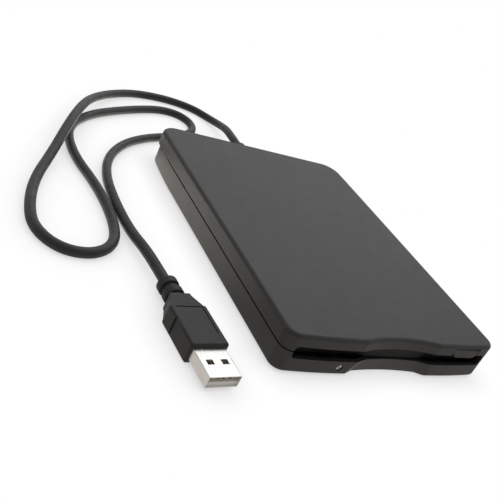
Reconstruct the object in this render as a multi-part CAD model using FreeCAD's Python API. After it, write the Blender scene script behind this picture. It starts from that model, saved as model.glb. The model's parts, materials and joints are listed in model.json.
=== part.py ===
import FreeCAD, Part
import math
import os

V = FreeCAD.Vector

# Driving dimensions, in millimetres. +X right, -Y front with the disk slot, +Z up, floor at z = 0

# Case
CASE_W = 103.0
CASE_L = 142.0
CASE_TOP = 16.7
FOOT_PROUD = 0.8
SPLIT_Z = 10.1
WALL = 1.8
ROOF = 1.6
FLOOR = 1.5
FRONT_CORNER_R = 5.0
REAR_CORNER_R = 8.5
SIDE_BOW_Y = 38.0
TOP_BOW_R = 1500.0
BASE_BOW_R = 230.0
TOP_EDGE_R = 1.5
BASE_EDGE_R = 1.2
BOW_START_X = 24.0
BOW_DROP = 1.4
SCALLOP_HALF = 19.0
SCALLOP_BLEND_R = 6.0
SCALLOP_TOP_DEPTH = 2.1
SCALLOP_BASE_DEPTH = 3.3
SCOOP_START = 0.4
SCOOP_HALF = 22.0
SCOOP_DEPTH = 3.5
SCOOP_HALF_SLOPE = 0.52
SCOOP_DEPTH_SLOPE = 0.16
SCOOP_FACET = 5.5
SCOOP_FACET_SHARE = 0.72
REVEAL_DEEP = 0.6
REVEAL_HIGH = 0.6

# Disk and the slot that takes it
DISK_T = 3.3
SLOT_HALF = 47.3
SLOT_Z0 = 7.0
SLOT_Z1 = 12.1
SLOT_END_R = 1.6
DISK_DROP = 1.8

# Clearances
PIN_GAP = 0.05
SEAT_GAP = 0.1

# Feet and case screws
FOOT_R = 4.0
FOOT_IN_X = 11.0
FOOT_IN_Y = 13.0
FOOT_POCKET = 0.5
SCREW_IN_X = 8.5
SCREW_IN_Y = 5.2
REST_X = 33.5
REST_IN_Y = 5.0
REST_R = 2.4
SCREW_HEAD_R = 1.7
SCREW_SHANK_R = 0.9
SCREW_HEAD_T = 0.6
SCREW_SUNK = 0.2
SCREW_BOSS_R = 2.6

# Eject button
BUTTON_X0 = 27.4
BUTTON_X1 = 42.4
BUTTON_Z0 = 10.7
BUTTON_Z1 = 15.0
BUTTON_TRAVEL = 4.5
BUTTON_GAP = 0.35
BUTTON_CORNER_R = 3.2

# Activity lamp
LED_X = -25.0
LED_Z = 4.2
LED_R = 1.5
LED_RING = 0.35

# Dust flap
FLAP_FACE_IN = 4.2
FLAP_T = 0.8
FLAP_PAD_PROUD = 1.3
FLAP_PAD_HALF = 20.0
FLAP_PAD_SLOPE = 6.0
FLAP_PAD_LOW = 0.65
FLAP_HINGE_Z = 12.9
FLAP_PIN_R = 0.5
FLAP_BARREL_R = 1.0

# Disk mechanism
MECH_HALF = 48.0
MECH_FRONT_IN = 13.0
MECH_REAR_IN = 9.0
MECH_SHEET = 0.8
BASE_Z = 4.2
WALL_TOP_Z = 14.2
COVER_T = 0.5
SLIDE_T = 0.6
SLIDE_Z = 12.8
SLIDE_GAP = 0.4
CARRIER_T = 0.5
CARRIER_TOP_Z = 11.7
CARRIER_Y0 = -57.0
CARRIER_Y1 = 30.0
LIFT_PIN_R = 0.9
LIFT_PIN_Y = (-44.0, 16.0)
LIFT_PIN_Z = 9.4

# Spindle
SPINDLE_Y = -17.0
ROTOR_R = 18.0
TABLE_R = 14.0
SHAFT_R = 2.0
BOARD_T = 0.8
BOARD_Z = 2.6
USB_BOARD_Z = 4.2
COIL_COUNT = 9
COIL_R0 = 6.0
COIL_R1 = 14.0

# Head drive
ROD_X = 15.0
ROD_R = 1.5
ROD_Z = 7.6
SCREW_X = -10.0
SCREW_R = 1.4
SCREW_Z = 8.4
SCREW_PITCH = 3.0
HEAD_OUTER_Y = 21.5
HEAD_TRAVEL = 15.0
MOTOR_R = 4.3
MOTOR_LEN = 8.0
ARM_DROP_DEG = 7.0
ARM_REACH = 26.0
ARM_PIVOT_Z = 10.0
ARM_X0 = -1.5
ARM_X1 = 6.5

# Shutter lever
LEVER_X = -38.0
LEVER_Y = 36.0
LEVER_LEN = 34.0
LEVER_T = 0.5
LEVER_PIN_R = 1.0
LEVER_REST_DEG = -62.0
LEVER_SWING_DEG = 55.0
LEVER_Z = 12.0

# Cord, its boot at the case and the plug
CORD_R = 2.0
CORD_EXIT_Z = 9.5
BOOT_LEN = 11.0
BOOT_R0 = 4.0
BOOT_R1 = 3.0
PLUG_TURN = 3.8
PLUG_START = (-78.1, -31.4)
PLUG_Z = 4.0
PLUG_BOOT_LEN = 9.5
PLUG_BOOT_R = 3.7
PLUG_BOOT_CORE_R = 2.9
PLUG_RINGS = [(0.3, 3.5), (5.2, 8.3)]
PLUG_LEN = 25.5
PLUG_W = 14.0
PLUG_NECK_W = 8.2
PLUG_NECK_LEN = 1.6
PLUG_SHOULDER_LEN = 5.7
PLUG_NECK_LOWER = 0.6
PLUG_GRIP_LEN = 4.2
PLUG_GRIP_AT = 9.0
PLUG_GRIP_DEEP = 0.4
PLUG_LINE = 0.3
PLUG_LINE_W = 0.45
PLUG_LINE_LEN = 13.0
PLUG_T = 7.8
PLUG_SHELL_W = 12.0
PLUG_SHELL_T = 4.5
PLUG_SHELL_LEN = 12.0
PLUG_SHELL_WALL = 0.3
PLUG_SINK = 5.0

# Route of the cord's centre line, chosen by hand: straight out, down to the floor, round and back
CORD_ROUTE = [
    (0, 93, 9.5), (-1, 105, 8), (0, 117, 4.5), (-1, 129, 2.1), (-8.5, 138, 2.1), (-21, 141.5, 2.1),
    (-39, 137, 2.1), (-56, 126, 2.5), (-69, 110, 5), (-79, 93, 8), (-90, 71, 8), (-101, 48, 3.5),
    (-111, 28, 2.1), (-116.3, 10, 2.1), (-117.8, -5, 2.1), (-111.3, -15.8, 2.1), (-100, -17.4, 2.1),
    (-90.5, -10, 2.1), (-87, 5, 2.1), (-87.5, 29, 2.1), (-91.5, 54, 2.1), (-88, 78, 2.1), (-74, 96, 2.1),
    (-56, 109, 2.1), (-38, 119.5, 2.1), (-26, 124.5, 2.1), (-16.5, 123.5, 2.1), (-12, 116, 2.1),
    (-14.5, 106, 2.1), (-24, 97, 2.1), (-36, 91, 2.1), (-50, 83.5, 2.1), (-63, 73, 2.1),
    (-74, 58, 2.1), (-80, 41, 2.1), (-81.6, 21, 2.1), (-81.4, 0, 2.6), (-79.1, -15, 4),
    (-78.1, -31.4, 4),
]

FRONT_Y = -CASE_L / 2
REAR_Y = CASE_L / 2
HALF_W = CASE_W / 2
MECH_Y0 = FRONT_Y + MECH_FRONT_IN
MECH_Y1 = REAR_Y - MECH_REAR_IN
REAR_POINT = (0, REAR_Y + BOOT_LEN, CORD_EXIT_Z)
TOP_PLAN = (SCALLOP_TOP_DEPTH, TOP_BOW_R)
BASE_PLAN = (SCALLOP_BASE_DEPTH, BASE_BOW_R)
FLOOR_TOP = FOOT_PROUD + FLOOR
ROOF_Z = CASE_TOP - ROOF
BASE_TOP = BASE_Z + MECH_SHEET
HEAD_SEAT_Z = FOOT_PROUD + SCREW_SUNK + SCREW_HEAD_T
BOARD_TOP = BOARD_Z + BOARD_T
FLAP_Y = FRONT_Y + FLAP_FACE_IN
FLAP_HINGE_Y = FLAP_Y + FLAP_BARREL_R
DISK_REST_Z = SLOT_Z0 + SEAT_GAP
HEAD_PLANE_Z = DISK_REST_Z - DISK_DROP + DISK_T / 2
COVER_TOP = WALL_TOP_Z + COVER_T
FLANGE_X = MECH_HALF - MECH_SHEET - SLIDE_GAP
CARRIER_X = FLANGE_X - SLIDE_T - SLIDE_GAP


def box(x0, x1, y0, y1, z0, z1):
    """Block between two opposite corners."""
    return Part.makeBox(x1 - x0, y1 - y0, z1 - z0, V(x0, y0, z0))


def post(x, y, z0, z1, r):
    """Upright cylinder."""
    return Part.makeCylinder(r, z1 - z0, V(x, y, z0))


def rod_y(x, z, y0, y1, r):
    """Cylinder that runs front to back."""
    return Part.makeCylinder(r, y1 - y0, V(x, y0, z), V(0, 1, 0))


def rod_x(y, z, x0, x1, r):
    """Cylinder that runs left to right."""
    return Part.makeCylinder(r, x1 - x0, V(x0, y, z), V(1, 0, 0))


def fuse(shapes):
    """One solid from pieces that overlap or share faces."""
    whole = shapes[0].multiFuse(shapes[1:]) if len(shapes) > 1 else shapes[0]
    return whole.removeSplitter()


def cut(shape, tools):
    """Shape with each tool taken away."""
    return shape.cut(tools)


def rounded(shape, radius, chosen):
    """Round the edges that the test picks."""
    edges = [e for e in shape.Edges if chosen(e)]
    return shape.makeFillet(radius, edges)


def arc(points):
    """Arc through three plan points."""
    a, b, c = [V(x, y, 0) for x, y in points]
    return Part.Arc(a, b, c).toShape()


def line(p, q):
    """Straight plan edge."""
    return Part.LineSegment(V(p[0], p[1], 0), V(q[0], q[1], 0)).toShape()


def on_circle(cx, cy, r, degrees):
    """Point of a circle at an angle."""
    a = math.radians(degrees)
    return (cx + r * math.cos(a), cy + r * math.sin(a))


def arc_between(cx, cy, r, a0, a1):
    """Arc of a circle from one angle to another, in degrees."""
    return arc([on_circle(cx, cy, r, a) for a in (a0, (a0 + a1) / 2, a1)])


def case_outline(inset, plan):
    """Closed plan wire of one shell, moved inwards: front scallop depth and the bow of its sides."""
    scallop, side_r = plan
    half = HALF_W - inset
    front = FRONT_Y + inset
    rear = REAR_Y - inset
    bow_r = ((HALF_W - BOW_START_X) ** 2 + BOW_DROP ** 2) / (2 * BOW_DROP) - inset
    bow_cy = front + bow_r
    corner = max(FRONT_CORNER_R - inset, 0.6)
    corner_x = half - corner
    corner_y = bow_cy - math.sqrt((bow_r - corner) ** 2 - (corner_x - BOW_START_X) ** 2)
    lean = math.degrees(math.atan2(corner_x - BOW_START_X, bow_cy - corner_y))
    rear_r = REAR_CORNER_R - inset
    rear_cy = REAR_Y - REAR_CORNER_R
    side_cx = HALF_W - side_r
    rear_cx = side_cx + math.sqrt((side_r - REAR_CORNER_R) ** 2 - (rear_cy - SIDE_BOW_Y) ** 2)
    turn = math.degrees(math.atan2(rear_cy - SIDE_BOW_Y, rear_cx - side_cx))
    sum_r = (SCALLOP_HALF ** 2 + scallop ** 2) / (2 * scallop)
    blend = SCALLOP_BLEND_R - inset
    scoop = sum_r - SCALLOP_BLEND_R + inset
    scoop_cy = FRONT_Y - (sum_r - SCALLOP_BLEND_R) + scallop
    blend_cy = FRONT_Y + SCALLOP_BLEND_R
    swing = math.degrees(math.asin(SCALLOP_HALF / sum_r))
    edges = []
    edges.append(arc_between(0, scoop_cy, scoop, 90 + swing, 90 - swing))
    edges.append(arc_between(SCALLOP_HALF, blend_cy, blend, 270 - swing, 270))
    edges.append(line((SCALLOP_HALF, front), (BOW_START_X, front)))
    edges.append(arc_between(BOW_START_X, bow_cy, bow_r, 270, 270 + lean))
    edges.append(arc_between(corner_x, corner_y, corner, 270 + lean, 360))
    edges.append(line((half, corner_y), (half, SIDE_BOW_Y)))
    edges.append(arc_between(side_cx, SIDE_BOW_Y, side_r - inset, 0, turn))
    edges.append(arc_between(rear_cx, rear_cy, rear_r, turn, 90))
    edges.append(line((rear_cx, rear), (-rear_cx, rear)))
    edges.append(arc_between(-rear_cx, rear_cy, rear_r, 90, 180 - turn))
    edges.append(arc_between(-side_cx, SIDE_BOW_Y, side_r - inset, 180 - turn, 180))
    edges.append(line((-half, SIDE_BOW_Y), (-half, corner_y)))
    edges.append(arc_between(-corner_x, corner_y, corner, 180, 270 - lean))
    edges.append(arc_between(-BOW_START_X, bow_cy, bow_r, 270 - lean, 270))
    edges.append(line((-BOW_START_X, front), (-SCALLOP_HALF, front)))
    edges.append(arc_between(-SCALLOP_HALF, blend_cy, blend, 270, 270 + swing))
    return Part.Wire(Part.__sortEdges__(edges))


def case_block(inset, plan, z0, z1):
    """Solid of the case outline between two heights."""
    wire = case_outline(inset, plan)
    wire.translate(V(0, 0, z0))
    return Part.Face(wire).extrude(V(0, 0, z1 - z0))


def scoop_wire(z):
    """Plan of the lower finger scoop at one height: two facets and a shallow curve between."""
    half = SCOOP_HALF - SCOOP_HALF_SLOPE * z
    depth = SCOOP_DEPTH - SCOOP_DEPTH_SLOPE * z
    bend_x = half - SCOOP_FACET
    bend_y = FRONT_Y + SCOOP_FACET_SHARE * depth
    front = FRONT_Y - 3
    corners = [V(-bend_x, bend_y, z), V(-half, FRONT_Y, z), V(-half, front, z), V(half, front, z),
               V(half, FRONT_Y, z), V(bend_x, bend_y, z)]
    back = Part.Arc(corners[5], V(0, FRONT_Y + depth, z), corners[0]).toShape()
    sides = [Part.LineSegment(a, b).toShape() for a, b in zip(corners, corners[1:])]
    return Part.Wire(sides + [back])


def flat_at(z):
    """Edge test: lies in one level plane."""
    return lambda e: all(abs(v.Point.z - z) < 1e-4 for v in e.Vertexes)


def slot_window(z0, z1, round_low):
    """Cutter for the disk slot's part in one shell, with its outer corners rounded."""
    cutter = box(-SLOT_HALF, SLOT_HALF, FRONT_Y - 2, FRONT_Y + SCALLOP_BASE_DEPTH + WALL + 1, z0, z1)
    level = z0 if round_low else z1
    return rounded(cutter, SLOT_END_R, lambda e: e.Length > 6 and abs(abs(e.CenterOfMass.x) - SLOT_HALF)
                   < 1e-4 and abs(e.CenterOfMass.z - level) < 1e-4)


def screw_places():
    """The two long screws at the rear, which hold both halves of the case."""
    return [(sx * (HALF_W - SCREW_IN_X), REAR_Y - SCREW_IN_Y) for sx in (-1, 1)]


def rest_places():
    """The four posts under the chassis that stand on the floor."""
    return [(sx * REST_X, y) for sx in (-1, 1) for y in (MECH_Y0 + REST_IN_Y, MECH_Y1 - REST_IN_Y)]


def short_screw_places():
    """The two front rests, which take short screws through the floor."""
    return [(x, y) for x, y in rest_places() if y < 0]


def foot_places():
    """The four rubber feet."""
    return [(sx * (HALF_W - FOOT_IN_X), sy * (REAR_Y - FOOT_IN_Y)) for sx in (-1, 1) for sy in (-1, 1)]


def button_outline(grow, y0, y1):
    """Solid of the button's flat-topped face outline, made larger all round."""
    x0 = BUTTON_X0 - grow
    x1 = BUTTON_X1 + grow
    z0 = BUTTON_Z0 - grow
    z1 = BUTTON_Z1 + grow
    block = box(x0, x1, y0, y1, z0, z1)
    return rounded(block, BUTTON_CORNER_R, lambda e: abs(e.CenterOfMass.z - z0) < 1e-4 and
                   abs(e.CenterOfMass.y - (y0 + y1) / 2) < 1e-4)


def reveal():
    """Cutter for the shadow line around the top of the lower shell."""
    low = SPLIT_Z - REVEAL_HIGH
    band = box(-HALF_W - 1, HALF_W + 1, FRONT_Y - 1, REAR_Y + 1, low, SPLIT_Z + 1)
    return cut(band, [case_block(REVEAL_DEEP, BASE_PLAN, low - 1, SPLIT_Z + 2)])


def make_bottom_shell():
    """Lower half of the case with floor, slot sill, screw bosses, foot pockets and lamp hole."""
    outer = case_block(0, (SCOOP_START, BASE_BOW_R), FOOT_PROUD, SPLIT_Z)
    outer = rounded(outer, BASE_EDGE_R, flat_at(FOOT_PROUD))
    scoop = Part.makeLoft([scoop_wire(0), scoop_wire(SPLIT_Z + 1)], True, True)
    shell = cut(outer, [scoop, case_block(WALL, BASE_PLAN, FLOOR_TOP, SPLIT_Z + 1), reveal()])
    bosses = [post(x, y, FLOOR_TOP - 0.2, SPLIT_Z, SCREW_BOSS_R) for x, y in screw_places()]
    shell = fuse([shell] + bosses + board_rails())
    holes = [slot_window(SLOT_Z0, SPLIT_Z + 1, True)]
    below = screw_places() + short_screw_places()
    holes += [post(x, y, FOOT_PROUD - 1, SPLIT_Z + 1, SCREW_SHANK_R + 0.1) for x, y in below]
    holes += [post(x, y, FOOT_PROUD - 1, HEAD_SEAT_Z, SCREW_HEAD_R + 0.2) for x, y in below]
    holes += [post(x, y, FOOT_PROUD - 1, FOOT_PROUD + FOOT_POCKET, FOOT_R) for x, y in foot_places()]
    holes.append(rod_y(LED_X, LED_Z, FRONT_Y - 1, FRONT_Y + WALL + 1, LED_R))
    holes.append(rod_y(0, CORD_EXIT_Z, REAR_Y - WALL - 1, REAR_Y + 1, BOOT_R1))
    return cut(shell, holes)


def make_top_shell():
    """Upper half of the case with roof, slot lip, button window and flap bearings."""
    outer = case_block(0, TOP_PLAN, SPLIT_Z, CASE_TOP)
    outer = rounded(outer, TOP_EDGE_R, flat_at(CASE_TOP))
    shell = cut(outer, [case_block(WALL, TOP_PLAN, SPLIT_Z - 1, ROOF_Z)])
    bosses = [post(x, y, SPLIT_Z, ROOF_Z + 0.2, SCREW_BOSS_R) for x, y in screw_places()]
    ears = [box(sx * (SLOT_HALF - 0.2) - 0.6, sx * (SLOT_HALF - 0.2) + 0.6, FLAP_HINGE_Y - 1.2,
                FLAP_HINGE_Y + 1.2, FLAP_HINGE_Z - 1.2, ROOF_Z + 0.2) for sx in (-1, 1)]
    shell = fuse([shell] + bosses + ears)
    holes = [slot_window(SPLIT_Z - 1, SLOT_Z1, False)]
    holes += [post(x, y, SPLIT_Z - 1, ROOF_Z - 1, SCREW_SHANK_R) for x, y in screw_places()]
    holes.append(button_outline(BUTTON_GAP, FRONT_Y - 1, FRONT_Y + WALL + 1.5))
    holes.append(rod_x(FLAP_HINGE_Y, FLAP_HINGE_Z, -SLOT_HALF - 1, SLOT_HALF + 1, FLAP_PIN_R))
    holes.append(rod_y(0, CORD_EXIT_Z, REAR_Y - WALL - 1, REAR_Y + 1, BOOT_R1))
    return cut(shell, holes)


def make_feet():
    """Four round rubber pads in their pockets."""
    feet = []
    for x, y in foot_places():
        pad = post(x, y, 0, FOOT_PROUD + FOOT_POCKET, FOOT_R)
        feet.append(rounded(pad, 0.3, flat_at(0)))
    return Part.makeCompound(feet)


def make_case_screws():
    """Four screws driven up from below, each with a cross recess."""
    screws = []
    head_z = HEAD_SEAT_Z - SCREW_HEAD_T
    tops = [(x, y, ROOF_Z - 1.5) for x, y in screw_places()]
    tops += [(x, y, BASE_Z) for x, y in short_screw_places()]
    for x, y, tip_z in tops:
        head = post(x, y, head_z, HEAD_SEAT_Z, SCREW_HEAD_R)
        shank = post(x, y, head_z, tip_z, SCREW_SHANK_R)
        cross = [box(x - 1, x + 1, y - 0.2, y + 0.2, head_z - 1, head_z + 0.5),
                 box(x - 0.2, x + 0.2, y - 1, y + 1, head_z - 1, head_z + 0.5)]
        screws.append(cut(fuse([head, shank]), cross))
    return Part.makeCompound(screws)


def make_led_lens():
    """Domed lamp lens pressed into the lower lip, with a collar behind the wall."""
    face_y = FRONT_Y + 0.25
    stem = rod_y(LED_X, LED_Z, face_y, FRONT_Y + WALL + 3, LED_R)
    dome = Part.makeSphere(LED_R * 1.35, V(LED_X, face_y + LED_R * 1.0, LED_Z))
    lens = stem.common(dome.fuse(rod_y(LED_X, LED_Z, face_y + LED_R * 0.9, FRONT_Y + 9, LED_R + 1)))
    collar = rod_y(LED_X, LED_Z, FRONT_Y + WALL + 0.05, FRONT_Y + WALL + 0.8, LED_R + LED_RING)
    return fuse([lens, collar])


def make_button():
    """Eject button with its stem, which reaches back over the flap to the slide."""
    front = FRONT_Y + 0.45
    cap = button_outline(0, front, FRONT_Y + WALL + 0.6)
    cap = rounded(cap, 0.4, lambda e: all(abs(v.Point.y - front) < 1e-4 for v in e.Vertexes))
    mid = (BUTTON_X0 + BUTTON_X1) / 2
    stem = box(mid - 3, mid + 3, FRONT_Y + WALL, CARRIER_Y0 - 2, FLAP_HINGE_Z + 1.3, BUTTON_Z1 - 0.1)
    return fuse([cap, stem])


def make_eject_slide():
    """Sheet slide under the cover: a frame with hanging side flanges and sloped lifting slots."""
    y0 = CARRIER_Y0 + 3
    y1 = CARRIER_Y1 - 4
    top = SLIDE_Z + SLIDE_T
    plate = box(-FLANGE_X, FLANGE_X, y0, y1, SLIDE_Z, top)
    window = box(-CARRIER_X + 7, CARRIER_X - 7, y0 + 9, y1 + 1, SLIDE_Z - 1, top + 1)
    frame = cut(plate, [window])
    flanges = []
    for sx in (-1, 1):
        inner = sx * (FLANGE_X - SLIDE_T)
        outer = sx * FLANGE_X
        flanges.append(box(min(inner, outer), max(inner, outer), y0, y1, BASE_TOP + 0.6, top))
    mid = (BUTTON_X0 + BUTTON_X1) / 2
    tongue = box(mid - 3, mid + 3, CARRIER_Y0 - 2, y0 + 1, SLIDE_Z, top)
    upright = box(mid - 3, mid + 3, CARRIER_Y0 - 2, CARRIER_Y0 - 1.4, SLIDE_Z, BUTTON_Z1 - 0.1)
    slide = fuse([frame, tongue, upright] + flanges)
    return cut(slide, [lift_slot(sx, y) for sx in (-1, 1) for y in LIFT_PIN_Y])


def lift_slot(sx, pin_y):
    """Sloped slot that carries one pin from its raised place to its lowered place."""
    r = LIFT_PIN_R + PIN_GAP
    x = sx * FLANGE_X - 1.2
    low = (pin_y + BUTTON_TRAVEL, LIFT_PIN_Z - DISK_DROP)
    ends = [rod_x(pin_y, LIFT_PIN_Z, x, x + 2.4, r), rod_x(low[0], low[1], x, x + 2.4, r)]
    length = math.hypot(BUTTON_TRAVEL, DISK_DROP)
    way = Part.makeBox(2.4, length, 2 * r, V(x, 0, -r))
    way.rotate(V(0, 0, 0), V(1, 0, 0), -math.degrees(math.atan2(DISK_DROP, BUTTON_TRAVEL)))
    way.translate(V(0, pin_y, LIFT_PIN_Z))
    return fuse(ends + [way])


def make_carrier():
    """Folded sheet carrier: top plate, side walls, four ledges under the disk and four pins."""
    top = box(-CARRIER_X, CARRIER_X, CARRIER_Y0, CARRIER_Y1, CARRIER_TOP_Z - CARRIER_T, CARRIER_TOP_Z)
    window = box(-6, 11, -2, CARRIER_Y1 + 1, CARRIER_TOP_Z - 2, CARRIER_TOP_Z + 1)
    hub_hole = post(0, SPINDLE_Y, CARRIER_TOP_Z - 2, CARRIER_TOP_Z + 1, 11)
    top = cut(top, [window, hub_hole, lever_arc_slot()])
    pieces = [top]
    low = DISK_REST_Z - 0.1 - CARRIER_T
    for sx in (-1, 1):
        outer = sx * CARRIER_X
        inner = sx * (CARRIER_X - CARRIER_T)
        pieces.append(box(min(inner, outer), max(inner, outer), CARRIER_Y0, CARRIER_Y1, DISK_REST_Z, CARRIER_TOP_Z))
        for y in LIFT_PIN_Y:
            pieces.append(box(min(inner, outer), max(inner, outer), y - 4, y + 4, low, DISK_REST_Z + 0.5))
            reach = sx * (CARRIER_X - 5)
            pieces.append(box(min(reach, outer), max(reach, outer), y - 4, y + 4, low, low + CARRIER_T))
            pin_end = sx * (MECH_HALF - 0.1)
            x0 = min(inner, pin_end)
            pieces.append(rod_x(y, LIFT_PIN_Z, x0, x0 + abs(pin_end - inner), LIFT_PIN_R))
    return fuse(pieces)


def make_chassis():
    """Pressed tray: base with spindle hole, head slot and ledge windows, and two side walls."""
    base = box(-MECH_HALF, MECH_HALF, MECH_Y0, MECH_Y1, BASE_Z, BASE_TOP)
    walls = [box(sx * MECH_HALF - (MECH_SHEET if sx > 0 else 0), sx * MECH_HALF +
                 (0 if sx > 0 else MECH_SHEET), MECH_Y0, MECH_Y1, BASE_Z, WALL_TOP_Z) for sx in (-1, 1)]
    tray = fuse([base] + walls)
    holes = [post(0, SPINDLE_Y, BASE_Z - 1, BASE_TOP + 1, ROTOR_R + 0.6)]
    holes.append(box(-3, 8, HEAD_OUTER_Y - HEAD_TRAVEL - 5, body_y1() + 1, BASE_Z - 1, BASE_TOP + 1))
    for sx in (-1, 1):
        for y in LIFT_PIN_Y:
            reach = sx * (CARRIER_X - 6)
            edge = sx * (CARRIER_X + 0.5)
            holes.append(box(min(reach, edge), max(reach, edge), y - 5, y + 5, BASE_Z - 1, BASE_TOP + 1))
            x = sx * MECH_HALF - 1
            r = LIFT_PIN_R + PIN_GAP
            holes.append(fuse([rod_x(y, LIFT_PIN_Z, x, x + 2, r), rod_x(y, LIFT_PIN_Z - DISK_DROP, x, x + 2, r),
                               box(x, x + 2, y - r, y + r, LIFT_PIN_Z - DISK_DROP, LIFT_PIN_Z)]))
    tray = cut(tray, holes)
    posts = [post(x, y, BOARD_TOP, BASE_Z + 0.1, 2.2) for x, y in board_posts()]
    rests = [post(x, y, FLOOR_TOP, BASE_Z + 0.1, REST_R) for x, y in rest_places()]
    brackets = [rod_block(y) for y in rod_ends()] + [motor_block()]
    tray = fuse([tray] + posts + rests + brackets)
    pilots = [post(x, y, FLOOR_TOP - 1, BASE_Z, SCREW_SHANK_R) for x, y in short_screw_places()]
    motor_bed = rod_y(SCREW_X, SCREW_Z, motor_front(), MECH_Y1 + 1, MOTOR_R + 0.02)
    return cut(tray, pilots + [motor_bed])


def board_posts():
    """Places where the chassis carries the boards under it."""
    return [(-30.0, -46.0), (30.0, -46.0), (-30.0, 8.0), (30.0, 8.0), (-34.0, 48.0), (34.0, 48.0)]


def rod_ends():
    """Front faces of the two brackets that hold the guide rod."""
    return (body_y0() - HEAD_TRAVEL - 2.0, body_y1() + 0.4)


def body_y0():
    """Front of the carriage body at the outer track."""
    return HEAD_OUTER_Y + ARM_REACH


def body_y1():
    """Rear of the carriage body at the outer track."""
    return body_y0() + 10.0


def rod_block(y):
    """Bracket on the base that holds one end of the guide rod."""
    block = box(ROD_X - 3, ROD_X + 3, y, y + 1.8, BASE_TOP - 0.1, ROD_Z + 2.6)
    return cut(block, [rod_y(ROD_X, ROD_Z, y - 1, y + 4, ROD_R)])


def motor_block():
    """Bracket that holds the stepper motor's front face and the screw's tail bearing."""
    y = motor_front()
    plate = box(SCREW_X - 5, SCREW_X + 5, y - 0.8, y, BASE_TOP - 0.1, SCREW_Z + 4.6)
    tail = box(SCREW_X - 2.5, SCREW_X + 2.5, screw_tail() - 1.0, screw_tail() + 0.8, BASE_TOP - 0.1, SCREW_Z + 2.2)
    plate = cut(plate, [rod_y(SCREW_X, SCREW_Z, y - 2, y + 1, SCREW_R + 0.6)])
    tail = cut(tail, [rod_y(SCREW_X, SCREW_Z, screw_tail() - 3, screw_tail() + 2, 0.7 + PIN_GAP)])
    cradle = box(SCREW_X - 5, SCREW_X + 5, y - 0.5, y + MOTOR_LEN, BASE_TOP - 0.1, SCREW_Z)
    cradle = cut(cradle, [rod_y(SCREW_X, SCREW_Z, y - 2, y + MOTOR_LEN + 2, MOTOR_R)])
    return fuse([plate, cradle]).fuse(tail)


def motor_front():
    """Front face of the stepper motor."""
    return MECH_Y1 - MOTOR_LEN - 0.6


def screw_tail():
    """Front end of the lead screw's thread."""
    return body_y0() - HEAD_TRAVEL - 1.0


def make_cover():
    """Thin shield over the mechanism, with a stiffening recess and edge lips."""
    y0 = MECH_Y0 + 4
    plate = box(-MECH_HALF, MECH_HALF, y0, MECH_Y1, WALL_TOP_Z, COVER_TOP)
    window = box(-9, 12, 0, body_y1() - 3, WALL_TOP_Z - 1, COVER_TOP + 1)
    ring = post(0, SPINDLE_Y, COVER_TOP - 0.25, COVER_TOP + 1, 16).cut(
        post(0, SPINDLE_Y, COVER_TOP - 1, COVER_TOP + 2, 12))
    slots = [box(sx * 30 - 9, sx * 30 + 9, 52, 55, WALL_TOP_Z - 1, COVER_TOP + 1) for sx in (-1, 1)]
    return cut(plate, [window, ring] + slots)


def make_spindle_board():
    """Board under the spindle, with the bearing hole."""
    board = box(-38, 38, -50, 12, BOARD_Z, BOARD_TOP)
    return cut(board, [post(0, SPINDLE_Y, BOARD_Z - 1, BOARD_TOP + 1, 3.6)])


def make_control_board():
    """Main board under the rear of the chassis."""
    board = box(-37, 37, 12.6, 60, BOARD_Z, BOARD_TOP)
    holes = [post(x, y, BOARD_Z - 1, BOARD_TOP + 1, REST_R + 0.3) for x, y in rest_places()]
    return cut(board, holes)


def make_stator():
    """Ring of flat coils on the spindle board."""
    coils = []
    for i in range(COIL_COUNT):
        a = 360.0 / COIL_COUNT * i
        x, y = on_circle(0, SPINDLE_Y, (COIL_R0 + COIL_R1) / 2, a)
        coil = post(x, y, BOARD_TOP, BOARD_TOP + 0.6, 2.9).cut(post(x, y, BOARD_TOP - 1, BOARD_TOP + 1, 1.2))
        coils.append(coil)
    return Part.makeCompound(coils)


def make_bearing():
    """Sleeve bearing pressed into the spindle board."""
    sleeve = post(0, SPINDLE_Y, BOARD_Z - 0.2, BOARD_TOP + 0.7, 3.6)
    flange = post(0, SPINDLE_Y, BOARD_TOP, BOARD_TOP + 0.4, 4.4)
    return cut(fuse([sleeve, flange]), [post(0, SPINDLE_Y, BOARD_Z + 0.3, BOARD_TOP + 2, SHAFT_R + PIN_GAP)])


def make_rotor():
    """Cup-shaped rotor with turntable, shaft and drive pin."""
    cup_z = BASE_Z + 0.15
    cup = post(0, SPINDLE_Y, cup_z, cup_z + 0.6, ROTOR_R)
    skirt = post(0, SPINDLE_Y, BOARD_TOP + 0.35, cup_z + 0.6, ROTOR_R).cut(
        post(0, SPINDLE_Y, BOARD_TOP, cup_z + 0.3, ROTOR_R - 1.2))
    table = post(0, SPINDLE_Y, cup_z, BASE_TOP + 0.7, TABLE_R)
    table = rounded(table, 0.3, flat_at(BASE_TOP + 0.7))
    dish = post(0, SPINDLE_Y, BASE_TOP + 0.45, BASE_TOP + 2, TABLE_R - 2)
    shaft = post(0, SPINDLE_Y, BOARD_Z + 0.4, SLOT_Z0 - 0.1, SHAFT_R)
    shaft = rounded(shaft, 0.4, flat_at(SLOT_Z0 - 0.1))
    pin = post(8.5, SPINDLE_Y, BASE_TOP, BASE_TOP + 1.5, 1.6)
    return fuse([cup, skirt, table.cut(dish), shaft, pin])


def make_rotor_magnet():
    """Ring magnet inside the turntable that grips the disk's hub."""
    z = BASE_TOP + 0.45
    ring = post(0, SPINDLE_Y, z, z + 0.2, 6.5).cut(post(0, SPINDLE_Y, z - 1, z + 1, 3.2))
    return ring


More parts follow.
